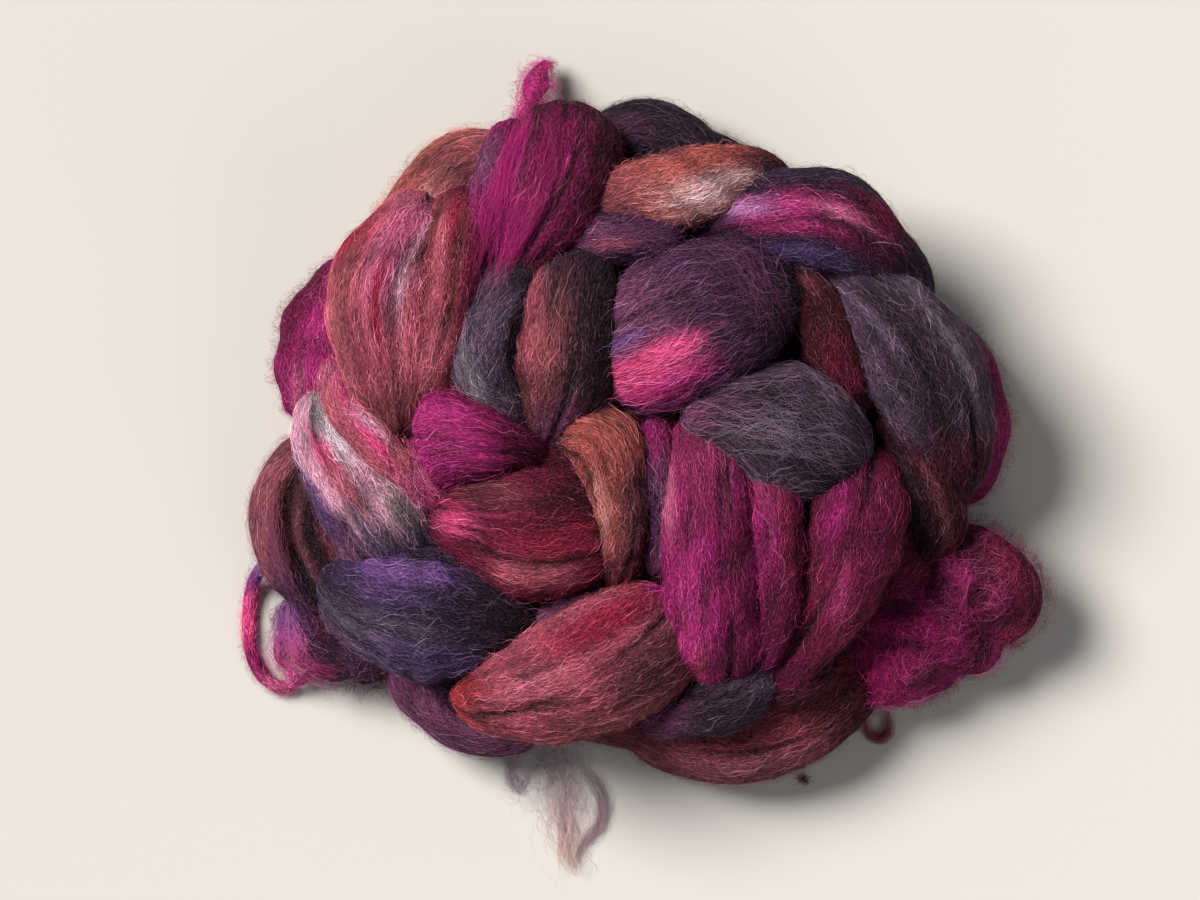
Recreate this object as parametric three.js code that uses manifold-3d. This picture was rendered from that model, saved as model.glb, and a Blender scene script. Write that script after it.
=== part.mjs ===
// A coiled braid of hand-dyed combed wool top: one thick soft strand, chained on itself in plump
// folds and laid in a spiral nest, with a fluffy pulled-off end, a short tuft, a thin stray loop and
// a gauzy wisp lying beside it. Millimetres, +Z up, standing on the plane z = 0.
import * as THREE from 'three';
import { mergeVertices } from 'three/addons/utils/BufferGeometryUtils.js';
import Module from 'manifold-3d';

// Driving dimensions
const COIL_CENTRE = new THREE.Vector2(-1.5, 7.5); // middle of the nest's footprint
const COIL_HALF_LENGTH = 104; // half the nest's footprint along X
const COIL_HALF_DEPTH = 92; // half the nest's footprint along Y
const PLUMP = 0.86; // a fold's thickness as a share of its width
const CORE_TOP = 46; // height of the packed middle under the folds
const CORE_INSET = 18; // how far the packed middle stays inside the footprint
const SEAT_GAP = 0.3; // clearance between a loose piece and the braid

// The lower row of the braid, round the foot of the nest
const FOOT_FOLDS = 11;
const FOOT_WIDE = 40;
const FOOT_TOP = 32;
const FOOT_SPAN = 1.75; // a foot fold's length, in shares of the pitch between two of them
const FOOT_SLANT = 11; // how far its first end tucks in behind the one before
const FOOT_END_DROP = 0.45; // share of its height that a foot fold loses as it closes
// Sections of a foot fold: [place along it, from -0.5 to 0.5, and how full it is there]
const FOOT_PROFILE = [[-0.5, 0.7], [-0.2, 1], [0.15, 1], [0.5, 0.6]];

// Loose pieces
const LOOP_DIAMETER = 4;
const LOOP_STEPS = 14;
const WISP_THICK = 1.2;

// Faces
const WIDE_FOLD = 22; // a fold at least this wide has more sides
const WIDE_SIDES = 10;
const SLIM_SIDES = 8;
const FOLD_STEPS = 8;
const CORE_SIDES = 20;
const CORE_STEPS = 10;
const LOOP_SIDES = 8;
const SIDES_PER_CURVE_SEGMENT = 2; // a full arc has two sides for each of its curve segments
const WELD = 1e-4; // corners closer than this are one
const END_ROUND = 0.14; // share of a fold's length over which each end closes

// The folds that show, each a row of sections along the strand. A section is [x, y, top, wide]: the
// place of its middle, the height of its upper side and its width.
const FOLDS = {
  // lower round, clockwise from the upper left
  brown_back: [[-34, 86, 32, 28], [-52, 85, 36, 35], [-63, 71, 35, 36], [-76, 52, 28, 24]],
  top_tuft: [
    [-36, 94, 36, 16], [-35, 104, 28, 9], [-33, 110, 22, 6.5], [-32, 116, 17, 10], [-29, 124, 8, 5],
  ],
  navy_back: [[-16, 86, 28, 30], [0, 94, 32, 36], [15, 88, 31, 32], [36, 80, 27, 28]],
  wine_edge: [[80, 42, 24, 26], [90, 27, 30, 35], [92, 12, 31, 38], [86, -10, 28, 32]],
  maroon_foot: [
    [-4, -68, 24, 26], [14, -76, 29, 34], [35, -76, 32, 36], [54, -66, 31, 34], [67, -52, 24, 25],
  ],
  purple_foot: [[-70, -50, 24, 26], [-58, -64, 29, 33], [-46, -71, 29, 32], [-30, -70, 25, 26]],
  violet_foot: [[-103, -36, 15, 16], [-97, -49, 23, 28], [-84, -51, 25, 30], [-70, -54, 20, 22]],
  pink_knot: [[-103, -40, 14, 10], [-106, -54, 14, 13], [-102, -65, 8, 8]],
  brown_edge: [
    [-91, 8, 24, 22], [-100, -6, 29, 33], [-101, -18, 30, 35], [-95, -31, 29, 31], [-88, -42, 24, 22],
  ],
  plum_edge: [[-79, 60, 26, 24], [-90, 46, 30, 32], [-94, 32, 31, 34], [-93, 13, 26, 24]],
  // pulled-off end of the strand
  end_left: [[85, -34, 28, 20], [79, -45, 33, 35], [75, -57, 31, 36], [76, -70, 18, 22]],
  end_right: [[87, -30, 33, 21], [100, -28, 35, 25], [110, -37, 34, 24], [104, -52, 22, 18]],
  end_middle: [[80, -40, 27, 18], [91, -44, 32, 27], [98, -51, 28, 23], [95, -60, 15, 15]],
  end_lower: [[65, -55, 18, 18], [78, -62, 18, 18], [90, -60, 15, 14], [98, -56, 9, 8]],
  // upper round, clockwise from the left
  pink_main: [
    [-98, 24, 36, 10], [-97, 12, 44, 18], [-89, -2, 50, 26], [-78, -17, 50, 31], [-66, -31, 38, 20],
  ],
  pink_side: [[-94, 33, 40, 10], [-90, 20, 49, 12], [-80, 8, 51, 13], [-70, -5, 47, 10], [-63, -18, 38, 6]],
  rose_main: [[-64, 82, 42, 14], [-70, 72, 54, 24], [-78, 53, 62, 34], [-75, 26, 55, 27], [-72, 5, 42, 9]],
  rose_side: [[-52, 84, 44, 12], [-55, 74, 56, 17], [-57, 57, 62, 18], [-62, 33, 56, 16], [-70, 5, 34, 7]],
  magenta_main: [
    [-19, 107, 38, 24], [-23, 95, 54, 35], [-29, 80, 61, 33], [-38, 66, 56, 21], [-48, 51, 38, 6],
  ],
  magenta_side: [[-37, 104, 40, 15], [-42, 88, 56, 18], [-46, 72, 56, 14], [-49, 53, 40, 5]],
  peach: [[-20, 78, 42, 14], [0, 83, 57, 20], [14, 85, 60, 23.5], [31, 90, 52, 15], [44, 91, 40, 5]],
  violet: [[12, 70, 40, 12], [35, 76, 56, 26], [56, 75, 60, 31], [73, 64.5, 52, 20], [87, 50, 32, 11]],
  grey_outer: [[54, 63, 40, 10], [72, 48, 56, 27], [85, 30, 60, 35], [92, 11, 51, 29], [96, -10, 32, 12]],
  wine_gap: [[72, 18, 38, 12], [84, -3, 47, 20], [89, -17, 41, 18], [86, -27, 28, 10]],
  slate_tip: [[0, -78, 32, 8], [12, -72, 42, 19], [26, -68, 47, 22], [40, -60, 40, 14]],
  plum_tip: [[31, -66, 36, 9], [45, -65, 41, 13], [58, -55, 38, 11]],
  brick: [
    [-58, -68, 40, 8], [-44, -68, 53, 25], [-24, -63.5, 61, 38], [-4, -54, 59, 40], [14, -42, 44, 26],
  ],
  indigo: [
    [-96, -31, 36, 16], [-81, -39, 52, 32], [-64, -43, 57, 41], [-46, -46, 51, 30], [-27, -50, 34, 10],
  ],
  // middle of the nest
  magenta_front: [
    [18, 18, 46, 20], [20, -2, 61, 27], [21, -26, 64, 30], [22, -48, 58, 31], [22, -63, 38, 20],
  ],
  magenta_rib: [[34, 8, 50, 13], [40, -14, 61, 16], [41, -30, 61, 14], [41, -44, 58, 11], [36, -60, 44, 7]],
  magenta_right: [
    [68, 9, 44, 16], [65, -14, 60, 30], [59, -35, 58, 26], [48, -55, 48, 16], [36, -70, 34, 8],
  ],
  grey_middle: [[12, 16, 50, 12], [25, 17, 63, 22], [42, 13, 67, 39], [55, 7, 62, 33], [66, 1, 42, 12]],
  purple_middle: [[-12, 32, 46, 30], [3, 38, 66, 45], [18, 45, 70, 48], [34, 51, 61, 37], [46, 52, 40, 14]],
  purple_back: [[-30, 68, 46, 10], [-10, 70, 55, 17], [14, 71, 56, 17]],
  slate_left: [
    [-28, 66, 48, 12], [-44, 50, 60, 21], [-48, 34, 59, 20], [-41, 20, 51, 16], [-30, 11, 38, 8],
  ],
  brown_middle: [
    [-16, 67, 46, 18], [-20, 49, 65, 31], [-22, 31, 65, 32], [-26, 17, 54, 21], [-30, 7, 38, 8],
  ],
  magenta_left: [[-67, 10, 44, 16], [-58, 11, 57, 35], [-46, 9, 57, 25], [-36, 7, 50, 15], [-26, 4, 38, 6]],
  wine_middle: [
    [-66, -12, 38, 12], [-50, -16, 55, 27], [-34, -19, 61, 40], [-20, -18, 55, 36], [-8, -15, 38, 14],
  ],
  copper: [[-27, 12, 44, 10], [-12, 8.5, 61, 22], [-7, -8, 58, 18], [-6.5, -22, 54, 15], [-9, -36, 42, 9]],
  mauve_gap: [[3, 16, 50, 10], [5, 0, 55, 12], [6.5, -16, 52, 11], [4, -32, 44, 8]],
  rose_gap: [[-73, 11, 42, 8], [-68, 1, 47, 10], [-61, -8, 46, 10], [-54, -14, 40, 8]],
  wine_upper: [[40, 64, 42, 8], [53, 48, 53, 18], [59, 33, 53, 20], [65, 15, 40, 12]],
  grey_gap: [[-34, -48, 38, 8], [-23, -43, 44, 11], [-9, -36, 40, 9]],
};

// Route of the stray loop, out of the braid at the left, along the table and back in: [x, y, z]
const LOOP_ROUTE = [
  [-108, -25, 13], [-112, -27, 11], [-115, -30, 8], [-117, -33, 5], [-118, -37, 3], [-118.6, -41, 2.3],
  [-119, -45, 2.2], [-119, -49, 2.2], [-118.6, -53, 2.2], [-117.6, -57, 2.2], [-116, -60.5, 2.2],
  [-113.6, -63.5, 2.2], [-110.5, -65.4, 2.3], [-107, -66, 2.6], [-103, -65, 3],
];

// Outline of the gauzy wisp on the table, from its root under the braid: [x, y]
const WISP_OUTLINE = [
  [-34, -62], [-39, -86], [-41, -92], [-38, -98], [-33, -97], [-30, -100], [-28, -109], [-24, -119],
  [-19, -124], [-16, -120], [-14, -112], [-11, -103], [-12, -95], [-15, -88], [-14, -62],
];

const COLOURS = { braid: 0x6e2c4a, loop: 0xa13a6b, wisp: 0x9a8a96 };

const wasm = await Module();
wasm.setup();

// A closed geometry as a solid that can be joined and cut.
function solidOf(geometry) {
  const bare = geometry.clone().deleteAttribute('normal').deleteAttribute('uv');
  const merged = mergeVertices(bare, WELD);
  return new wasm.Manifold(new wasm.Mesh({
    numProp: 3,
    vertProperties: merged.attributes.position.array,
    triVerts: new Uint32Array(merged.index.array),
  }));
}

// A solid as a geometry with flat faces.
function geometryOf(solid) {
  const mesh = solid.getMesh();
  const geometry = new THREE.BufferGeometry();
  geometry.setAttribute('position', new THREE.BufferAttribute(mesh.vertProperties, 3));
  geometry.setIndex(new THREE.BufferAttribute(mesh.triVerts, 1));
  geometry.computeVertexNormals();
  return geometry;
}

// How full a fold is at share t of its length: 1 along the middle, closing to a round end.
function endShape(t) {
  const left = 1 - Math.min(1, Math.min(t, 1 - t) / END_ROUND);
  return Math.sqrt(1 - left * left);
}

// One plump fold: a sphere drawn out along the sections, with an oval section. grow makes it thicker
// all round, to cut a clearance with it.
function foldSolid(sections, grow = 0) {
  const middles = sections.map(([x, y, top, wide]) => new THREE.Vector3(x, y, top - wide * PLUMP / 2));
  const path = new THREE.CatmullRomCurve3(middles);
  const widths = new THREE.CatmullRomCurve3(sections.map(([, , , wide]) => new THREE.Vector3(wide, 0, 0)));
  const widest = Math.max(...sections.map(([, , , wide]) => wide));
  const sides = widest < WIDE_FOLD ? SLIM_SIDES : WIDE_SIDES;
  const geometry = new THREE.SphereGeometry(1, sides, FOLD_STEPS);
  const { position, uv } = geometry.attributes;
  for (let i = 0; i < position.count; i++) {
    const t = 1 - uv.getY(i);
    const turn = uv.getX(i) * 2 * Math.PI;
    const half = endShape(t) * widths.getPoint(t).x / 2 + grow;
    const ahead = path.getTangent(t);
    const side = new THREE.Vector3(ahead.y, -ahead.x, 0).normalize();
    const up = new THREE.Vector3().crossVectors(side, ahead);
    const pole = t === 0 || t === 1 ? 0 : 1;
    const point = path.getPoint(t)
      .addScaledVector(up, -Math.cos(turn) * half * PLUMP * pole)
      .addScaledVector(side, Math.sin(turn) * half * pole);
    position.setXYZ(i, point.x, point.y, point.z);
  }
  return solidOf(geometry);
}

// Sections of one fold of the lower row: it follows the foot of the nest and slants in at one end.
function footSections(index) {
  const pitch = 2 * Math.PI / FOOT_FOLDS;
  return FOOT_PROFILE.map(([place, fullness]) => {
    const angle = (index + place * FOOT_SPAN) * pitch;
    const inset = FOOT_WIDE / 2 + FOOT_SLANT * Math.max(0, -2 * place);
    const x = COIL_CENTRE.x + Math.cos(angle) * (COIL_HALF_LENGTH - inset);
    const y = COIL_CENTRE.y + Math.sin(angle) * (COIL_HALF_DEPTH - inset);
    const top = FOOT_TOP * (1 - FOOT_END_DROP * (1 - fullness));
    return [x, y, top, FOOT_WIDE * fullness];
  });
}

// The packed middle of the nest, which the folds lie on.
function coreSolid() {
  const geometry = new THREE.SphereGeometry(1, CORE_SIDES, CORE_STEPS).rotateX(Math.PI / 2);
  geometry.scale(COIL_HALF_LENGTH - CORE_INSET, COIL_HALF_DEPTH - CORE_INSET, CORE_TOP);
  geometry.translate(COIL_CENTRE.x, COIL_CENTRE.y, 0);
  return solidOf(geometry);
}

// Everything below the table, to cut the resting face.
function belowTable() {
  const size = 2 * (COIL_HALF_LENGTH + COIL_HALF_DEPTH);
  return solidOf(new THREE.BoxGeometry(size, size, size).translate(0, 0, -size / 2));
}

// The largest body of a solid, without pockets that are closed off inside it.
function largestBody(solid) {
  return solid.decompose().sort((a, b) => b.volume() - a.volume())[0];
}

// All folds joined into one strand and cut level where it rests.
function braidSolid(grow = 0) {
  const folds = Object.values(FOLDS).map((sections) => foldSolid(sections, grow));
  const foot = Array.from({ length: FOOT_FOLDS }, (_, i) => foldSolid(footSections(i), grow));
  const joined = [...folds, ...foot].reduce((sum, fold) => sum.add(fold), coreSolid());
  return largestBody(joined.subtract(belowTable()));
}

// A thin round strand along its route.
function loopSolid() {
  const section = new THREE.Shape();
  section.absarc(0, 0, LOOP_DIAMETER / 2, 0, 2 * Math.PI);
  const route = new THREE.CatmullRomCurve3(LOOP_ROUTE.map((point) => new THREE.Vector3(...point)));
  return solidOf(new THREE.ExtrudeGeometry(section, {
    extrudePath: route, steps: LOOP_STEPS, curveSegments: LOOP_SIDES / SIDES_PER_CURVE_SEGMENT,
  }));
}

// A flat lock of fibres with the wisp's outline.
function wispSolid() {
  const outline = new THREE.Shape(WISP_OUTLINE.map(([x, y]) => new THREE.Vector2(x, y)));
  return solidOf(new THREE.ExtrudeGeometry(outline, { depth: WISP_THICK, bevelEnabled: false }));
}

function woolMesh(name, solid, colour) {
  const material = new THREE.MeshStandardMaterial({ color: colour, roughness: 0.95, metalness: 0 });
  const mesh = new THREE.Mesh(geometryOf(solid), material);
  mesh.name = name;
  return mesh;
}

// The loose pieces are cut back to a small clearance where they come out of the braid.
const clearance = braidSolid(SEAT_GAP);
const loop = largestBody(loopSolid().subtract(clearance));
const wisp = largestBody(wispSolid().subtract(clearance));

const nest = new THREE.Group();
nest.add(woolMesh('coiled_braid', braidSolid(), COLOURS.braid));
nest.add(woolMesh('loose_loop', loop, COLOURS.loop));
nest.add(woolMesh('loose_wisp', wisp, COLOURS.wisp));

export default nest;
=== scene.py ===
"""Looks of a coiled braid of hand-dyed combed wool top: soft folds, combed fibres, fuzz, loop and wisp."""

import math

import bpy
import numpy as np
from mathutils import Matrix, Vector
from mathutils.bvhtree import BVHTree


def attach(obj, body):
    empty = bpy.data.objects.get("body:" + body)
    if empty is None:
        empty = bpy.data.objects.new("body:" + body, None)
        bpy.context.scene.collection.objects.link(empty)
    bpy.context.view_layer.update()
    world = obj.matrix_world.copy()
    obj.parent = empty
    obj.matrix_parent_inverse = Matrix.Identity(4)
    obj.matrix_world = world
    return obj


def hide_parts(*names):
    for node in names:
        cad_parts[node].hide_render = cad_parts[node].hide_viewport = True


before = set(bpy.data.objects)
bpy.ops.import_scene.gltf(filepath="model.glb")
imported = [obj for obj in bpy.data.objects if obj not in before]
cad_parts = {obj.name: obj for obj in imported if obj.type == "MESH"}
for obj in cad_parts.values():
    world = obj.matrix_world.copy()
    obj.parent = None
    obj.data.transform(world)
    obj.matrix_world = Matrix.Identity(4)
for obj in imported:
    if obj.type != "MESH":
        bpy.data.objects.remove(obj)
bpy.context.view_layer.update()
rng = np.random.default_rng(5)

# Sizes are in millimetres, as in the solids, and become metres when a mesh is made
MM = 0.001
FULL_TURN = 2 * math.pi
ANY_TURN = (0, FULL_TURN)
UPWARD = [0.0, 0.0, 1.0]
TABLE_Z = 0.25  # the lowest that any fibre lies

# Form of the nest, as in the solids
COIL_CENTRE = np.array([-1.5, 7.5])
COIL_HALF = np.array([104.0, 92.0])
PLUMP = 0.86
END_ROUND = 0.14
CORE_TOP = 46.0
CORE_INSET = 18.0
FOOT_FOLDS = 11
FOOT_WIDE = 40.0
FOOT_TOP = 32.0
FOOT_SPAN = 1.75
FOOT_SLANT = 11.0
FOOT_END_DROP = 0.45
FOOT_PROFILE = [(-0.5, 0.7), (-0.2, 1.0), (0.15, 1.0), (0.5, 0.6)]

# Folds of the strand, grouped as they lie, each a row of sections [x, y, top, wide]
LOWER_ROUND = {
    "brown_back": [[-34, 86, 32, 28], [-52, 85, 36, 35], [-63, 71, 35, 36], [-76, 52, 28, 24]],
    "top_tuft": [[-36, 94, 36, 16], [-35, 104, 28, 9], [-33, 110, 22, 6.5], [-32, 116, 17, 10],
        [-29, 124, 8, 5]],
    "navy_back": [[-16, 86, 28, 30], [0, 94, 32, 36], [15, 88, 31, 32], [36, 80, 27, 28]],
    "wine_edge": [[80, 42, 24, 26], [90, 27, 30, 35], [92, 12, 31, 38], [86, -10, 28, 32]],
    "maroon_foot": [[-4, -68, 24, 26], [14, -76, 29, 34], [35, -76, 32, 36], [54, -66, 31, 34],
        [67, -52, 24, 25]],
    "purple_foot": [[-70, -50, 24, 26], [-58, -64, 29, 33], [-46, -71, 29, 32], [-30, -70, 25, 26]],
    "violet_foot": [[-103, -36, 15, 16], [-97, -49, 23, 28], [-84, -51, 25, 30], [-70, -54, 20, 22]],
    "pink_knot": [[-103, -40, 14, 10], [-106, -54, 14, 13], [-102, -65, 8, 8]],
    "brown_edge": [[-91, 8, 24, 22], [-100, -6, 29, 33], [-101, -18, 30, 35], [-95, -31, 29, 31],
        [-88, -42, 24, 22]],
    "plum_edge": [[-79, 60, 26, 24], [-90, 46, 30, 32], [-94, 32, 31, 34], [-93, 13, 26, 24]],
}
PULLED_END = {
    "end_left": [[85, -34, 28, 20], [79, -45, 33, 35], [75, -57, 31, 36], [76, -70, 18, 22]],
    "end_right": [[87, -30, 33, 21], [100, -28, 35, 25], [110, -37, 34, 24], [104, -52, 22, 18]],
    "end_middle": [[80, -40, 27, 18], [91, -44, 32, 27], [98, -51, 28, 23], [95, -60, 15, 15]],
    "end_lower": [[65, -55, 18, 18], [78, -62, 18, 18], [90, -60, 15, 14], [98, -56, 9, 8]],
}
UPPER_ROUND = {
    "pink_main": [[-98, 24, 36, 10], [-97, 12, 44, 18], [-89, -2, 50, 26], [-78, -17, 50, 31],
        [-66, -31, 38, 20]],
    "pink_side": [[-94, 33, 40, 10], [-90, 20, 49, 12], [-80, 8, 51, 13], [-70, -5, 47, 10],
        [-63, -18, 38, 6]],
    "rose_main": [[-64, 82, 42, 14], [-70, 72, 54, 24], [-78, 53, 62, 34], [-75, 26, 55, 27],
        [-72, 5, 42, 9]],
    "rose_side": [[-52, 84, 44, 12], [-55, 74, 56, 17], [-57, 57, 62, 18], [-62, 33, 56, 16],
        [-70, 5, 34, 7]],
    "magenta_main": [[-19, 107, 38, 24], [-23, 95, 54, 35], [-29, 80, 61, 33], [-38, 66, 56, 21],
        [-48, 51, 38, 6]],
    "magenta_side": [[-37, 104, 40, 15], [-42, 88, 56, 18], [-46, 72, 56, 14], [-49, 53, 40, 5]],
    "peach": [[-20, 78, 42, 14], [0, 83, 57, 20], [14, 85, 60, 23.5], [31, 90, 52, 15], [44, 91, 40, 5]],
    "violet": [[12, 70, 40, 12], [35, 76, 56, 26], [56, 75, 60, 31], [73, 64.5, 52, 20], [87, 50, 32, 11]],
    "grey_outer": [[54, 63, 40, 10], [72, 48, 56, 27], [85, 30, 60, 35], [92, 11, 51, 29],
        [96, -10, 32, 12]],
    "wine_gap": [[72, 18, 38, 12], [84, -3, 47, 20], [89, -17, 41, 18], [86, -27, 28, 10]],
    "slate_tip": [[0, -78, 32, 8], [12, -72, 42, 19], [26, -68, 47, 22], [40, -60, 40, 14]],
    "plum_tip": [[31, -66, 36, 9], [45, -65, 41, 13], [58, -55, 38, 11]],
    "brick": [[-58, -68, 40, 8], [-44, -68, 53, 25], [-24, -63.5, 61, 38], [-4, -54, 59, 40],
        [14, -42, 44, 26]],
    "indigo": [[-96, -31, 36, 16], [-81, -39, 52, 32], [-64, -43, 57, 41], [-46, -46, 51, 30],
        [-27, -50, 34, 10]],
}
MIDDLE = {
    "magenta_front": [[18, 18, 46, 20], [20, -2, 61, 27], [21, -26, 64, 30], [22, -48, 58, 31],
        [22, -63, 38, 20]],
    "magenta_rib": [[34, 8, 50, 13], [40, -14, 61, 16], [41, -30, 61, 14], [41, -44, 58, 11],
        [36, -60, 44, 7]],
    "magenta_right": [[68, 9, 44, 16], [65, -14, 60, 30], [59, -35, 58, 26], [48, -55, 48, 16],
        [36, -70, 34, 8]],
    "grey_middle": [[12, 16, 50, 12], [25, 17, 63, 22], [42, 13, 67, 39], [55, 7, 62, 33], [66, 1, 42, 12]],
    "purple_middle": [[-12, 32, 46, 30], [3, 38, 66, 45], [18, 45, 70, 48], [34, 51, 61, 37],
        [46, 52, 40, 14]],
    "purple_back": [[-30, 68, 46, 10], [-10, 70, 55, 17], [14, 71, 56, 17]],
    "slate_left": [[-28, 66, 48, 12], [-44, 50, 60, 21], [-48, 34, 59, 20], [-41, 20, 51, 16],
        [-30, 11, 38, 8]],
    "brown_middle": [[-16, 67, 46, 18], [-20, 49, 65, 31], [-22, 31, 65, 32], [-26, 17, 54, 21],
        [-30, 7, 38, 8]],
    "magenta_left": [[-67, 10, 44, 16], [-58, 11, 57, 35], [-46, 9, 57, 25], [-36, 7, 50, 15],
        [-26, 4, 38, 6]],
    "wine_middle": [[-66, -12, 38, 12], [-50, -16, 55, 27], [-34, -19, 61, 40], [-20, -18, 55, 36],
        [-8, -15, 38, 14]],
    "copper": [[-27, 12, 44, 10], [-12, 8.5, 61, 22], [-7, -8, 58, 18], [-6.5, -22, 54, 15],
        [-9, -36, 42, 9]],
    "mauve_gap": [[3, 16, 50, 10], [5, 0, 55, 12], [6.5, -16, 52, 11], [4, -32, 44, 8]],
    "rose_gap": [[-73, 11, 42, 8], [-68, 1, 47, 10], [-61, -8, 46, 10], [-54, -14, 40, 8]],
    "wine_upper": [[40, 64, 42, 8], [53, 48, 53, 18], [59, 33, 53, 20], [65, 15, 40, 12]],
    "grey_gap": [[-34, -48, 38, 8], [-23, -43, 44, 11], [-9, -36, 40, 9]],
}
GROUPS = {"lower_round": LOWER_ROUND, "pulled_end": PULLED_END, "upper_round": UPPER_ROUND, "middle": MIDDLE}

# Dyes, as sRGB shades from 0 to 255
DYES = {
    "magenta": (150, 24, 96), "fuchsia": (194, 48, 128), "plum": (106, 13, 60), "dark_plum": (66, 8, 35),
    "hot_pink": (255, 88, 150), "candy": (250, 176, 204), "white": (242, 224, 236),
    "rose": (202, 98, 118), "salmon_rose": (236, 116, 138), "mauve_pink": (204, 96, 140),
    "brown_rose": (156, 76, 86), "rust": (170, 80, 80), "copper": (188, 92, 86),
    "salmon": (216, 126, 122), "peach": (236, 168, 172), "brick": (178, 78, 98), "red": (204, 58, 70),
    "crimson": (162, 34, 64), "wine": (114, 18, 54), "dark_wine": (68, 11, 30), "maroon": (114, 46, 58),
    "brown": (102, 48, 58), "slate": (98, 76, 102), "grey": (88, 64, 86), "pale_grey": (138, 120, 136),
    "charcoal": (50, 28, 44), "navy": (50, 31, 58), "indigo": (86, 58, 106), "violet": (124, 80, 148),
    "lavender": (204, 128, 188), "mauve": (124, 64, 102), "purple": (72, 34, 70),
    "raspberry": (162, 46, 100), "grey_green": (132, 116, 118), "ash": (164, 148, 158),
    "cream": (255, 198, 202), "blush": (204, 162, 152), "dusk": (144, 110, 120),
    "dusty_rose": (202, 124, 122), "cocoa": (142, 74, 88), "bright_magenta": (184, 28, 108),
    "oxblood": (138, 54, 66), "black_plum": (34, 10, 20),
}

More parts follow.
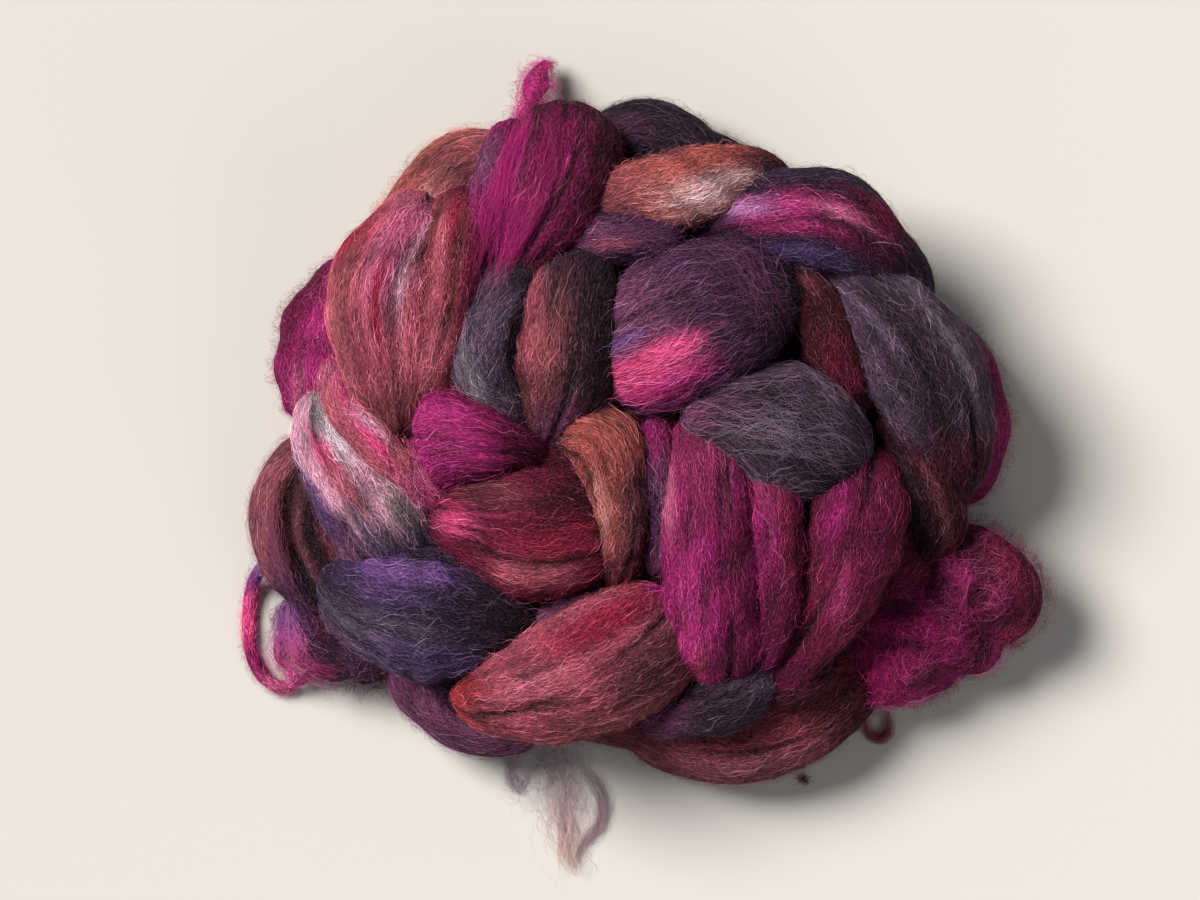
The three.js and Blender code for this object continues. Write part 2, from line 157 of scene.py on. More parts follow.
# How each fold is dyed: its ground, then splashes (dye, x, y, reach along the fibres, reach across). A few
# dark splashes are painted shade in creases, as noted at their folds.
DYE_WORK = {
    "brown_back": ("dusty_rose", ("rust", -70, 86, 16, 4), ("brown_rose", -50, 92, 10, 9)),
    "top_tuft": ("fuchsia",),
    "navy_back": ("navy", ("mauve", -6, 102, 7, 5), ("charcoal", 18, 100, 18, 11)),
    "wine_edge": ("plum", ("purple", 103, 38, 10, 8), ("raspberry", 107, 18, 14, 8),
        ("magenta", 104, -4, 12, 9)),
    "maroon_foot": ("oxblood", ("brown_rose", 5, -88, 16, 9), ("cocoa", 34, -92, 24, 6),
        ("dark_wine", 66, -72, 12, 12)),
    "purple_foot": ("purple", ("mauve", -52, -82, 24, 8), ("mauve", -72, -66, 12, 10)),
    "violet_foot": ("dark_plum", ("purple", -88, -58, 12, 10), ("violet", -106, -46, 5, 6),
        ("raspberry", -104, -60, 5, 5)),
    "pink_knot": ("mauve_pink", ("violet", -106, -46, 7, 8), ("fuchsia", -105, -61, 6, 7),
        ("candy", -104, -56, 4, 4)),
    # brown_edge: its black_plum line along the deep crease is painted shade
    "brown_edge": ("cocoa", ("purple", -105, -38, 9, 10), ("dark_wine", -90, -18, 22, 5),
        ("black_plum", -99, -22, 24, 2.6), ("brown_rose", -111, -14, 12, 3)),
    "plum_edge": ("magenta", ("plum", -103, 50, 9, 6), ("fuchsia", -98, 36, 14, 6),
        ("mauve_pink", -103, 21, 9, 3)),
    "end_left": ("magenta", ("plum", 88, -58, 9, 5), ("bright_magenta", 72, -56, 12, 8)),
    "end_right": ("plum", ("magenta", 98, -32, 10, 5), ("wine", 116, -36, 14, 5)),
    "end_middle": ("magenta", ("plum", 99, -50, 9, 7), ("bright_magenta", 86, -48, 7, 5)),
    "end_lower": ("magenta", ("bright_magenta", 82, -60, 9, 7)),
    "pink_main": ("candy", ("rose", -84, 8, 9, 4), ("hot_pink", -95, 4, 7, 3), ("rose", -89, -4, 9, 4),
        ("white", -96, 17, 8, 4), ("white", -91, 9, 9, 3.4), ("candy", -82, -3, 10, 5),
        ("grey_green", -72, -12, 10, 5), ("slate", -84, -22, 12, 9), ("indigo", -72, -26, 9, 14),
        ("mauve", -92, -20, 10, 5), ("indigo", -100, -8, 15, 3.5)),
    "pink_side": ("rose", ("mauve_pink", -94, 29, 7, 7), ("hot_pink", -86, 18, 9, 2.4),
        ("candy", -82, 14, 8, 3), ("hot_pink", -80, 8, 9, 2.4), ("mauve_pink", -68, -8, 10, 6)),
    "rose_main": ("salmon_rose", ("mauve_pink", -73, 64, 20, 9), ("candy", -70, 60, 16, 3),
        ("crimson", -86, 70, 12, 4), ("maroon", -65, 66, 16, 2), ("brown_rose", -76, 18, 16, 14),
        ("brown_rose", -90, 46, 18, 3), ("crimson", -80, 48, 14, 1.6), ("brick", -84, 36, 16, 4),
        ("maroon", -70, 10, 8, 10)),
    "rose_side": ("oxblood", ("crimson", -58, 74, 12, 3), ("rose", -61, 62, 16, 2.6),
        ("wine", -54, 83, 9, 8), ("wine", -51, 56, 18, 3), ("rose", -62, 36, 16, 4)),
    # magenta_main: the dark_plum line along its left crease and the dark_plum at its top and right edge are
    # painted shade
    "magenta_main": ("plum", ("magenta", -32, 80, 22, 8), ("dark_plum", -24, 106, 9, 20),
        ("dark_plum", -39, 84, 26, 1.8), ("fuchsia", -33, 74, 14, 3), ("dark_plum", -25, 82, 20, 1.2),
        ("dark_plum", -12, 92, 18, 5)),
    "magenta_side": ("magenta", ("mauve", -48, 92, 9, 6)),
    "peach": ("rust", ("copper", 14, 92, 16, 4), ("salmon", 10, 82, 10, 7), ("brown_rose", -5, 83, 10, 10),
        ("peach", 20, 82, 13, 7), ("cream", 22, 84.5, 13, 5), ("brown", 40, 93, 10, 8),
        ("brown", 6, 97, 16, 3)),
    "violet": ("navy", ("plum", 52, 77, 26, 8), ("fuchsia", 45, 77, 16, 6), ("lavender", 33, 79, 9, 3.5),
        ("mauve_pink", 60, 77, 12, 3), ("wine", 74, 76, 10, 5), ("indigo", 50, 65, 22, 4)),
    "grey_outer": ("grey", ("charcoal", 83, 32, 28, 9), ("pale_grey", 93, 38, 18, 1.6),
        ("slate", 72, 42, 16, 2.4), ("dark_wine", 93, 4, 12, 14)),
    "wine_gap": ("dark_wine", ("brown", 88, -6, 12, 2), ("black_plum", 79, -8, 20, 7)),
    "slate_tip": ("charcoal", ("mauve", 6, -76, 12, 8), ("slate", 36, -62, 9, 7)),
    "plum_tip": ("dark_plum",),
    "brick": ("brick", ("red", -53, -66, 8, 14), ("crimson", -12, -46, 20, 5), ("fuchsia", 6, -36, 8, 10),
        ("brown_rose", -14, -78, 20, 7), ("brown", 2, -60, 14, 10), ("rose", -32, -64, 14, 5)),
    "indigo": ("navy", ("indigo", -76, -34, 14, 8), ("violet", -75, -30, 9, 5), ("violet", -62, -31, 9, 4),
        ("slate", -79, -51, 20, 9), ("indigo", -60, -58, 20, 6), ("charcoal", -40, -44, 12, 12)),
    "magenta_front": ("magenta", ("raspberry", 18, 2, 16, 10), ("mauve_pink", 8, -8, 14, 2.2),
        ("plum", 29, -24, 16, 4), ("fuchsia", 14, -40, 18, 6), ("hot_pink", 17, -54, 9, 2.4),
        ("plum", 30, -56, 12, 7)),
    "magenta_rib": ("magenta", ("raspberry", 38, -4, 14, 7), ("wine", 45, -24, 14, 4),
        ("plum", 41, -42, 14, 6)),
    "magenta_right": ("wine", ("plum", 62, -12, 18, 13), ("magenta", 58, -12, 14, 4),
        ("raspberry", 60, -36, 9, 5), ("plum", 46, -58, 10, 10), ("plum", 70, -22, 16, 5)),
    "grey_middle": ("grey", ("charcoal", 38, 13, 20, 13), ("mauve", 20, 18, 8, 7),
        ("charcoal", 50, 2, 14, 6)),
    "purple_middle": ("purple", ("mauve", 0, 48, 14, 12), ("violet", -4, 40, 9, 5),
        ("charcoal", 38, 46, 14, 16), ("magenta", 18, 28, 9, 7), ("fuchsia", 10, 26, 10, 6),
        ("hot_pink", 1, 30, 8, 7), ("hot_pink", 11, 36, 10, 6), ("violet", -6, 22, 7, 4),
        ("purple", 24, 22, 9, 7)),
    "purple_back": ("purple", ("mauve", -16, 70, 10, 6), ("rose", -6, 68, 7, 1.4)),
    "slate_left": ("grey", ("charcoal", -34, 58, 9, 6), ("pale_grey", -52, 28, 12, 4),
        ("slate", -46, 46, 9, 4)),
    "brown_middle": ("brown", ("charcoal", -12, 46, 26, 9), ("brick", -33, 42, 13, 3.5),
        ("brown_rose", -29, 36, 14, 4.5), ("mauve", -22, 16, 10, 9), ("slate", -22, 65, 10, 18),
        ("charcoal", -16, 58, 10, 14), ("black_plum", -9, 42, 24, 7)),
    "magenta_left": ("magenta", ("fuchsia", -56, 10, 12, 13), ("plum", -36, 7, 10, 14),
        ("plum", -46, 24, 9, 5)),
    "wine_middle": ("wine", ("maroon", -44, -7, 14, 5), ("hot_pink", -53, -16, 7, 5),
        ("rose", -34, -31, 11, 6), ("crimson", -28, -22, 12, 6), ("dark_wine", -22, -8, 12, 6)),
    "copper": ("rust", ("copper", -12, 11, 7, 8), ("brown", -23, 12, 5, 8), ("dusty_rose", -12, -10, 14, 3),
        ("brown", -1, -12, 16, 6), ("maroon", -6, -30, 10, 10)),
    "mauve_gap": ("mauve", ("purple", 3, -10, 14, 3), ("lavender", 9, -18, 10, 2.5),
        ("magenta", 4, 10, 8, 8)),
    "rose_gap": ("raspberry", ("mauve_pink", -66, 0, 8, 3)),
    "wine_upper": ("dark_wine", ("maroon", 47, 58, 8, 6), ("wine", 60, 30, 10, 5)),
    "grey_gap": ("mauve",),
}
FOOT_DYES = ["wine", "brown", "navy", "maroon", "purple", "brown_rose", "plum", "indigo", "maroon",
    "charcoal", "wine"]

# Folds whose fibres are pulled loose, and how much fuzzier they are than the combed ones
FRIZZ = {"end_left": 5.0, "end_right": 6.0, "end_middle": 6.0, "end_lower": 5.0, "top_tuft": 6.0,
    "pink_knot": 4.0, "violet_foot": 3.0, "magenta_side": 1.4, "plum_edge": 1.8, "wine_edge": 2.4,
    "brown_back": 1.4}

# How much more fuzz stands off some folds
FUZZ_POWER = 1.25
FUZZ = {name: frizz ** FUZZ_POWER for name, frizz in FRIZZ.items()}
FUZZ.update({"magenta_main": 3.0, "navy_back": 3.5, "peach": 1.6, "brown_back": 4.0, "maroon_foot": 4.0,
    "purple_foot": 3.5, "violet": 1.8, "grey_outer": 2.0, "brown_edge": 3.5, "slate_tip": 2.0,
    "plum_edge": 4.0, "wine_edge": 4.5})

# Deep creases along a fold: from (x, y) to (x, y), depth and width
CREASES = {
    "brown_edge": [(-102, 0, -96, -42, 8.0, 2.6)],
    "brick": [(-11, -59, 2, -47, 2.0, 1.2), (-32, -70, -8, -66, 0.9, 1.0)],
    "grey_outer": [(68, 54, 92, 4, 1.4, 1.4), (80, 50, 99, 14, 1.2, 1.2)],
    "magenta_right": [(68, -6, 54, -40, 1.8, 1.3), (60, -4, 50, -34, 1.0, 1.0)],
    "magenta_main": [(-39, 94, -45, 60, 3.0, 1.4), (-26, 96, -37, 62, 2.0, 1.1)],
    "rose_main": [(-67, 76, -73, 22, 0.9, 1.2), (-86, 62, -82, 24, 0.5, 1.0)],
    "rose_side": [(-54, 70, -60, 36, 0.7, 1.1)],
    "magenta_front": [(14, -4, 13, -52, 0.9, 1.0), (26, 0, 27, -50, 1.3, 1.0)],
    "indigo": [(-86, -44, -46, -52, 1.1, 1.1), (-84, -52, -50, -58, 1.2, 1.1)],
    "maroon_foot": [(8, -82, 58, -74, 1.4, 1.3)],
    "wine_middle": [(-46, -24, -18, -26, 1.0, 1.1)],
    "violet": [(30, 72, 74, 66, 1.8, 1.3)],
    "copper": [(-12, 4, -9, -26, 0.9, 0.9)],
    "purple_middle": [(-8, 42, 30, 58, 1.6, 1.4)],
    "brown_middle": [(-26, 52, -28, 20, 1.0, 1.0)],
}

# Folds that are combed smoother, and the share of their furrows' depth that is left
SLEEK = {"peach": 0.3, "rose_main": 0.6, "magenta_front": 0.7}

# Share of a fold's half width that is loose fluff, with no packed strand in it
FLUFF = {"end_left": 0.12, "end_right": 0.12, "end_middle": 0.12, "end_lower": 0.15, "top_tuft": 0.3,
    "pink_knot": 0.25, "violet_foot": 0.12}
FLUFF_FIBRES = 12.0  # how many more combed fibres fill it, against its share

# Meshes of the folds, and cells that tell where a fold shows
WIDE_FOLD = 22.0
WIDE_GRID = (64, 28)
SLIM_GRID = (40, 24)
CORE_GRID = (64, 24)
PATH_SAMPLES = 161
UPPER_SHIFT = 0.35  # crowds a fold's points onto its upper side
AROUND = 2.6  # way round a fold against its width
CORE_GRAIN = (200, 200)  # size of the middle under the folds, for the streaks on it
BAKE_CELL = 0.96  # share of its bake cell that a fold fills
CELLS = (26, 52)  # along and around a fold
IN_CELL = (-0.5, 0.5)
BURIED = -1.2  # deeper than this inside the joined solid, a fold is hidden
UNDERSIDE = 1.5  # lower than this, a fold bears no fibres

# Relief of a fold: soft lumps, and furrows between its strands
LUMPS = 6
LUMP = 0.13  # height of each
LUMP_LONG = (9, 24)
LUMPS_ROUND = (1, 5)  # waves round the fold, from 1 to 4
LUMP_FRIZZ = 2.5  # the most that frizz raises them
FURROWS = 8  # and one more for each FURROW_PITCH of the fold's width
FURROW_PITCH = 2.5
FURROW_DRIFT = 0.25  # how far round the fold they wander
FURROW_DEPTH = (0.15, 0.95)
FURROW_WIDTH = (0.6, 1.7)
FURROW_FADE = (0.6, 0.4, 0.12, 9)  # depth along the fold: middle, swing, wave and start
SLIM_FOLD = 20.0  # narrower folds have shallower furrows
FLAT_TIP = 8.0  # half width under which the relief dies away
CREASE_EDGE = 0.95  # creases keep within this share of the fold's half width
FURROW_DEEP = 1.4  # a furrow this deep is the darkest
FURROW_PAINTED_SHADE = 0.45  # painted shade: share of the colour taken off in it, for the shade that falls in a furrow
GROUND_PAINTED_SHADE = 0.85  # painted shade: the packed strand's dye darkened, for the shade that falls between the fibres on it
DYE_STREAK = 2.5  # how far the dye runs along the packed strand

# Fibre families: how many in all, and spans of their sizes. sides is how thick they lie on a fold's sides and
# on its top, stray how much they slant, and shade how much paler than the dye they are and how much that
# differs from fibre to fibre and along a fibre
FIBRES = {
    "combed": dict(count=42000, points=5, sides=(0.4, 1.0), length=(1.8, 5.5), width=(0.07, 0.14),
        lift=(0.0, 0.4), stray=0.25, crimp=(0.1, 0.35), wave=(3.0, 7.0), arch=(0.0, 0.25), roll=0.7,
        shade=(0, 22, 22)),
    # glint: short fibres paler than their dye, a painted highlight of fibres that catch the light
    "glint": dict(count=15000, points=3, sides=(0.4, 1.0), length=(0.7, 2.2), width=(0.045, 0.085),
        lift=(0.2, 0.6), stray=0.7, crimp=(0.1, 0.4), wave=(2.5, 6.0), arch=(0.0, 0.4), roll=0.8,
        shade=(38, 20, 14)),
    "pale": dict(count=6500, points=9, sides=(0.4, 1.0), length=(4, 11), width=(0.05, 0.09), lift=(0.3, 0.9),
        stray=0.5, crimp=(0.3, 1.0), wave=(4.5, 11.0), arch=(0.0, 0.7), roll=0.8, shade=(44, 18, 8)),
    "fuzz": dict(count=26000, points=4, sides=(1.0, 0.45), length=(1.8, 5.5), width=(0.045, 0.08),
        lift=(0.0, 0.2), stray=1.0, crimp=(0.2, 0.8), wave=(3.0, 8.0), arch=(0.5, 2.3), roll=0.8,
        shade=(8, 14, 8)),
    "drift": dict(count=7000, points=7, sides=(0.4, 1.0), length=(4, 10), width=(0.045, 0.075),
        lift=(0.2, 0.7), stray=0.6, crimp=(0.2, 0.7), wave=(4.0, 10.0), roll=0.8, shade=(14, 15, 8)),
}
PIECE_RIBBONS = 20000  # the most ribbons in one piece
DRIFT_DROP = 9.0  # a drifting fibre doesn't reach further down than this
DRIFT_NEAR = 2.0  # and lies no further than this from the fold that it starts on
DRIFT_BEND = 0.03
SHADES = (3, 250)  # darkest and palest shade of a fibre
TIPS = (0.004, 0.996)  # shares of a fold's length that its fibres keep between
SLIMMEST = 2.0  # half width that a fold is taken to have at its tips
FRIZZ_CRIMP = 2.0  # the most that frizz adds to the crimp
FRIZZ_ARCH = 1.6  # and to the arch
CRIMP_LIFT = 0.25  # rise and fall of the crimp against its swing to the side
FLUFF_DEPTH = (-1, 0.7)  # how deep and how high fibres lie in the fluff
DYE_SHIFT = (3.5, 1.1)  # how far a fibre's dye is off, along and across the fold
TIP_START = 0.35  # blunt start of a fibre's taper
TAPER_POWER = 0.6
MAP_COLUMNS = 32  # ribbons side by side in a bake map
MAP_ENDS = (0.06, 0.94)  # where a ribbon starts and ends in its cell
MAP_SIDES = (0.2, 0.8)

# Folds with more pale fibres than the others
PALE = {"grey_middle": 7.0, "grey_outer": 2.0, "purple_middle": 4.0, "purple_back": 2.0, "indigo": 1.6,
    "slate_left": 1.6, "navy_back": 1.5, "brown_edge": 1.5, "end_left": 1.3, "end_right": 1.2,
    "end_middle": 1.2}

# Stray loop beside the nest: its route, as in the solids
LOOP_DIAMETER = 4.0
LOOP_ROUTE = [
    (-108, -25, 13), (-112, -27, 11), (-115, -30, 8), (-117, -33, 5), (-118, -37, 3), (-118.6, -41, 2.3),
    (-119, -45, 2.2), (-119, -49, 2.2), (-118.6, -53, 2.2), (-117.6, -57, 2.2), (-116, -60.5, 2.2),
    (-113.6, -63.5, 2.2), (-110.5, -65.4, 2.3), (-107, -66, 2.6), (-103, -65, 3),
]
LOOP_SPLASHES = [("violet", -113, -28, 12, 9), ("hot_pink", -118, -45, 9, 9), ("mauve_pink", -108, -66, 7, 9)]
LOOP_FIBRES = {"combed": 420, "fuzz": 420}

# Loose locks that lie off the folds: route, spread at its two ends, fibres, dyes at its two ends
LOCKS = {
    "tuft_fluff": ([(-36, 96, 30), (-35, 104, 24), (-33, 110, 18), (-32, 116, 13), (-29, 123, 6)],
        (4.0, 2.6), 300, ("magenta", "fuchsia")),
    "tuft_curl": ([(-32, 116, 14), (-30, 121, 10), (-27.5, 123, 7), (-26.5, 120.5, 5)], (1.6, 0.8), 120,
        ("fuchsia", "fuchsia")),
    "small_curl": ([(66, -71, 9), (67.6, -76, 4.5), (68.8, -80, 2), (71.4, -81.6, 1.6), (74.4, -80, 2),
        (74.6, -75, 4), (73.6, -70, 8)], (1.3, 1.3), 200, ("brown_rose", "maroon")),
    "nep": ([(47.4, -93, 1.8), (49, -93.8, 2), (50.6, -93.4, 1.8)], (1.2, 1.2), 110,
        ("dark_plum", "dark_wine")),
}
# Locks that lie over the folds, with the height of what is under them: as LOCKS, but routes of (x, y)
LAID_LOCKS = {
    "tuft_fan": ([(-33, 112), (-36, 102), (-41, 88), (-45, 72), (-49, 54)], (2.0, 4.5), 260,
        ("fuchsia", "magenta")),
    "tuft_back": ([(-30, 110), (-26, 100), (-30, 84), (-38, 66), (-47, 52)], (3.0, 3.0), 160,
        ("plum", "magenta")),
    "purple_drape": ([(14, 72), (26, 64), (36, 52), (44, 34)], (6.0, 5.0), 120, ("purple", "mauve")),
    "grey_fray": ([(17, 10), (35, 13), (50, 8), (62, -2)], (7.0, 8.0), 140, ("pale_grey", "slate")),
    "back_fray": ([(-16, 69), (-1, 70.5), (17, 73)], (3.5, 3.5), 100, ("mauve", "purple")),
    "end_threads": ([(77, -39), (95, -36), (108, -29)], (8.0, 7.0), 110, ("magenta", "mauve_pink")),
    "end_low_threads": ([(66, -54), (83, -61), (93, -54)], (6.0, 6.0), 90, ("magenta", "mauve_pink")),
    "knot_tangle": ([(-109, -39), (-107.5, -47), (-106, -55), (-104.5, -63)], (3.4, 4.6), 210,
        ("violet", "hot_pink")),
    "edge_strand": ([(-111, -4), (-111, -20), (-103, -42)], (2.4, 2.4), 120, ("cocoa", "mauve")),
}
LAID_LIFT = (0.3, 1.0)
TAUT_ROUNDS = 7  # passes that draw a fibre tight over what it lies on

# The wisp on the table, flat, and its locks as LOCKS
WISP_LOCKS = {
    "veil": ([(-27, -74, 6), (-27, -82, 3), (-26, -90, 1.2), (-25, -99, 0.8)], (11, 8), 260,
        ("ash", "ash")),
    "haze": ([(-26, -88, 1.2), (-24, -98, 0.8), (-22, -110, 0.8), (-19.5, -122, 0.8)], (7.5, 5.0), 150,
        ("ash", "blush")),
    "left": ([(-25, -84, 2), (-24.6, -97.5, 0.8), (-23.6, -105, 0.8), (-23, -112, 0.8), (-21.6, -119, 0.8),
        (-18.6, -122, 0.8)], (3.6, 1.6), 120, ("ash", "blush")),
    "right": ([(-20, -84, 2), (-17, -92, 1), (-13.5, -96, 0.8), (-11.8, -102.5, 0.8), (-13.2, -108, 0.8),
        (-17, -112.5, 0.8), (-19.5, -117, 0.9), (-18.6, -121, 0.8)], (2.4, 1.4), 150, ("ash", "dusk")),
    "curl": ([(-33, -82, 2), (-38, -87.5, 1), (-40, -93, 0.8), (-37, -96.5, 0.8), (-34, -92, 0.9),
        (-30, -88, 1)], (2.0, 1.3), 100, ("ash", "ash")),
}

# Fibres of a lock
LOCK_POINTS = 26
LOCK_SHARE = (0.3, 0.8)  # share of the lock's length that one fibre runs
LOCK_SPREAD = np.array([0.6, 0.6, 0.25])  # a lock is wider than it is high
LOCK_SWAYS = (0.5, 2.5)
LOCK_SWAY = 0.7
LOCK_FLAT = 0.4  # height of its curls against their width
LOCK_TONE = 17  # how much fibres differ in shade
LOCK_CRIMP = (0.12, 0.5)
LOCK_WAVE = (2.2, 6.0)
LOCK = dict(width=(0.045, 0.08), roll=0.8)

# Camera, straight above the nest
FRAME_WIDE = 360.0
FRAME_CENTRE = (-12.6, 6.0)
SHARP_HEIGHT = 45.0
CAMERA_AWAY = 5000.0
CLIP_END = 50.0
SENSOR = 36.0

# Lights: where each comes from, its power and its colour
KEY = ((-1.36, 0.88, 1.73), 5.9, (1.0, 0.97, 0.93))
KEY_WIDE = 28  # degrees, as a large window
FILL = ((0.9, -0.9, 1.1), 6.5, (0.97, 0.98, 1.0))
FILL_SIZE = 1.2
SKY = (0.93, 0.95, 1.0, 1)
SKY_POWER = 0.14
FLOOR_SHADE = (0.53, 0.51, 0.475, 1)
FLOOR_FAR = 12.0

# Grain of the packed wool: how far its streaks sway, and how fine streaks and specks are along and across
GRAIN_SWAY = (0.0022, 0.0022, 0)
STREAKS = (420, 1500, 1)
SPECKS = (1000, 2100, 1)
SHEEN_TINT = (0.3, 0.18, 0.25, 1)
MIX_FIRST, MIX_SECOND, MIX_RESULT = 6, 7, 2  # sockets of a mix of colours


def linear(shade):
    """sRGB shades from 0 to 255 as linear colour."""
    c = np.clip(np.asarray(shade, float) / 255, 0.004, 1)
    return np.where(c <= 0.04045, c / 12.92, ((c + 0.055) / 1.055) ** 2.4)


def spline(points, t):
    """Centripetal Catmull-Rom curve through points, at shares t of its sections."""
    p = np.asarray(points, float)
    place = np.asarray(t) * (len(p) - 1)
    i = np.minimum(place.astype(int), len(p) - 2)
    w = (place - i)[:, None]
    ends = np.vstack([2 * p[0] - p[1], p, 2 * p[-1] - p[-2]])
    p0, p1, p2, p3 = ends[i], ends[i + 1], ends[i + 2], ends[i + 3]
    d0, d1, d2 = [np.maximum(np.linalg.norm(b - a, axis=1), 1e-6)[:, None] ** 0.5
                  for a, b in ((p0, p1), (p1, p2), (p2, p3))]
    m1 = ((p1 - p0) / d0 - (p2 - p0) / (d0 + d1) + (p2 - p1) / d1) * d1
    m2 = ((p2 - p1) / d1 - (p3 - p1) / (d1 + d2) + (p3 - p2) / d2) * d1
    return p1 + m1 * w + (3 * (p2 - p1) - 2 * m1 - m2) * w ** 2 + (2 * (p1 - p2) + m1 + m2) * w ** 3


def unit(v):
    """Vectors of length 1."""
    return v / np.maximum(np.linalg.norm(v, axis=-1, keepdims=True), 1e-9)


def draw(span, count):
    """Random values in a span, as a column."""
    return rng.uniform(*span, count)[:, None]


class Fold:
    """One plump fold: an oval section drawn along a path, with furrows between its strands, and its dyes."""

    def __init__(self, name, sections, ground, *splashes):
        self.name = name
        s = np.array(sections, float)
        self.t = np.linspace(0, 1, PATH_SAMPLES)
        middles = np.column_stack([s[:, 0], s[:, 1], s[:, 2] - s[:, 3] * PLUMP / 2])
        self.middle = spline(middles, self.t)
        wide = spline(np.column_stack([s[:, 3], 0 * s[:, 3]]), self.t)[:, 0]
        left = 1 - np.minimum(1, np.minimum(self.t, 1 - self.t) / END_ROUND)
        self.half = np.sqrt(1 - left ** 2) * wide / 2
        self.widest = wide.max()
        self.ahead = unit(np.gradient(self.middle, axis=0))
        self.side = unit(np.column_stack([self.ahead[:, 1], -self.ahead[:, 0], 0 * self.t]))
        self.up = np.cross(self.side, self.ahead)
        steps = np.linalg.norm(np.diff(self.middle, axis=0), axis=1)
        self.along = np.concatenate([[0], np.cumsum(steps)])
        self.long = self.along[-1]
        self.frizz = FRIZZ.get(name, 1.0)
        self.fluff = FLUFF.get(name, 0.0)
        self.ground = np.array(DYES[ground], float)
        self.splashes = [self.placed(*splash) for splash in splashes]
        self.furrows = self.make_furrows()
        self.lumps = self.make_lumps()

    def nearest(self, x, y):
        """Path sample nearest to (x, y), and how far to its side that place is."""
        away = np.array([x, y]) - self.middle[:, :2]
        i = np.argmin(np.linalg.norm(away, axis=1))
        return i, away[i] @ self.side[i, :2]

    def placed(self, dye, x, y, reach_along, reach_across):
        """A splash by its place on the fold: along the path and to its side."""
        i, across = self.nearest(x, y)
        return np.array(DYES[dye], float), self.along[i], across, reach_along, reach_across

    def make_furrows(self):
        """Furrows between strands: angle round the fold, drift along it, depth and width."""
        n = int(FURROWS + self.widest / FURROW_PITCH)
        angle = rng.uniform(*ANY_TURN, n)
        drift = rng.normal(0, FURROW_DRIFT, n)
        depth = rng.uniform(*FURROW_DEPTH, n) * min(1, self.widest / SLIM_FOLD) * SLEEK.get(self.name, 1)
        wide = rng.uniform(*FURROW_WIDTH, n)
        creases = [self.crease(*crease) for crease in CREASES.get(self.name, [])]
        return np.vstack([np.column_stack([angle, drift, depth, wide]), *creases])

    def crease(self, x1, y1, x2, y2, depth, wide):
        """A furrow through two places on the upper side."""
        (t1, turn1), (t2, turn2) = [self.turn_at(x, y) for x, y in ((x1, y1), (x2, y2))]
        drift = (turn2 - turn1) / (t2 - t1)
        return np.array([turn1 - drift * (t1 - 0.5), drift, depth, wide])

    def turn_at(self, x, y):
        """Share along the fold and angle round it of the place under (x, y)."""
        i, across = self.nearest(x, y)
        return self.t[i], math.acos(np.clip(across / self.half[i], -CREASE_EDGE, CREASE_EDGE))

    def make_lumps(self):
        """Soft lumps: waves along the fold, whole waves round it, and where they start."""
        wave = FULL_TURN / rng.uniform(*LUMP_LONG, LUMPS)
        whole = rng.integers(*LUMPS_ROUND, LUMPS)
        return np.column_stack([wave, whole, rng.uniform(*ANY_TURN, LUMPS)])

    def look_up(self, values, t):
        """Vectors along the path, at shares t."""
        return np.stack([np.interp(t, self.t, values[:, k]) for k in range(3)], axis=-1)

    def relief(self, t, turn):
        """Height of the strands against the plain oval, at shares t and angles turn."""
        half = np.maximum(np.interp(t, self.t, self.half), 1.0)
        along = np.interp(t, self.t, self.along)
        rise = 0.0
        for wave, whole, start in self.lumps:
            rise = rise + LUMP * min(self.frizz, LUMP_FRIZZ) * np.sin(along * wave + turn * whole + start)
        middle, swing, wave, start = FURROW_FADE
        for angle, drift, depth, wide in self.furrows:
            off = (turn - angle - drift * (t - 0.5) + np.pi) % FULL_TURN - np.pi
            fade = middle + swing * np.sin(along * wave + start * angle)
            rise = rise - depth * fade * np.exp(-(off * half / wide) ** 2)
        return rise * np.minimum(1, half / FLAT_TIP)

    def surface(self, t, turn, lift=0.0):
        """Points on the fold. turn is the angle round it: 0 at its side and a quarter turn on top."""
        half = np.interp(t, self.t, self.half)[..., None]
        c, s = np.cos(turn)[..., None], np.sin(turn)[..., None]
        out = self.look_up(self.side, t) * c * half + self.look_up(self.up, t) * s * half * PLUMP
        height = (self.relief(t, turn) + lift)[..., None]
        return self.look_up(self.middle, t) + out + self.outward(t, turn) * height

    def outward(self, t, turn):
        """Unit normals of the oval."""
        c, s = np.cos(turn)[..., None], np.sin(turn)[..., None]
        return unit(self.look_up(self.side, t) * c * PLUMP + self.look_up(self.up, t) * s)

    def shade(self, t, turn, shift_along=0.0, shift_across=0.0):
        """sRGB shade of the dyed strand at places on the fold, with painted shade in its furrows."""
        along = np.interp(t, self.t, self.along) + shift_along
        across = np.cos(turn) * np.interp(t, self.t, self.half) + shift_across
        shade = np.broadcast_to(self.ground, along.shape + (3,)).copy()
        for dye, s, a, reach_s, reach_a in self.splashes:
            away = ((along - s) / reach_s) ** 2 + ((across - a) / reach_a) ** 2
            shade += (dye - shade) * np.exp(-away ** 2)[..., None]
        # painted shade: the colour is darker in the furrows, the deeper they are
        sunk = np.clip(-self.relief(t, turn) / FURROW_DEEP, 0, 1)
        return shade * (1 - FURROW_PAINTED_SHADE * sunk)[..., None]


def foot_sections(index):
    """Sections of one fold of the lower row, as in the solids."""
    pitch = FULL_TURN / FOOT_FOLDS
    rows = []
    for place, fullness in FOOT_PROFILE:
        angle = (index + place * FOOT_SPAN) * pitch
        inset = FOOT_WIDE / 2 + FOOT_SLANT * max(0, -2 * place)
        x, y = COIL_CENTRE + np.array([math.cos(angle), math.sin(angle)]) * (COIL_HALF - inset)
        rows.append([x, y, FOOT_TOP * (1 - FOOT_END_DROP * (1 - fullness)), FOOT_WIDE * fullness])
    return rows


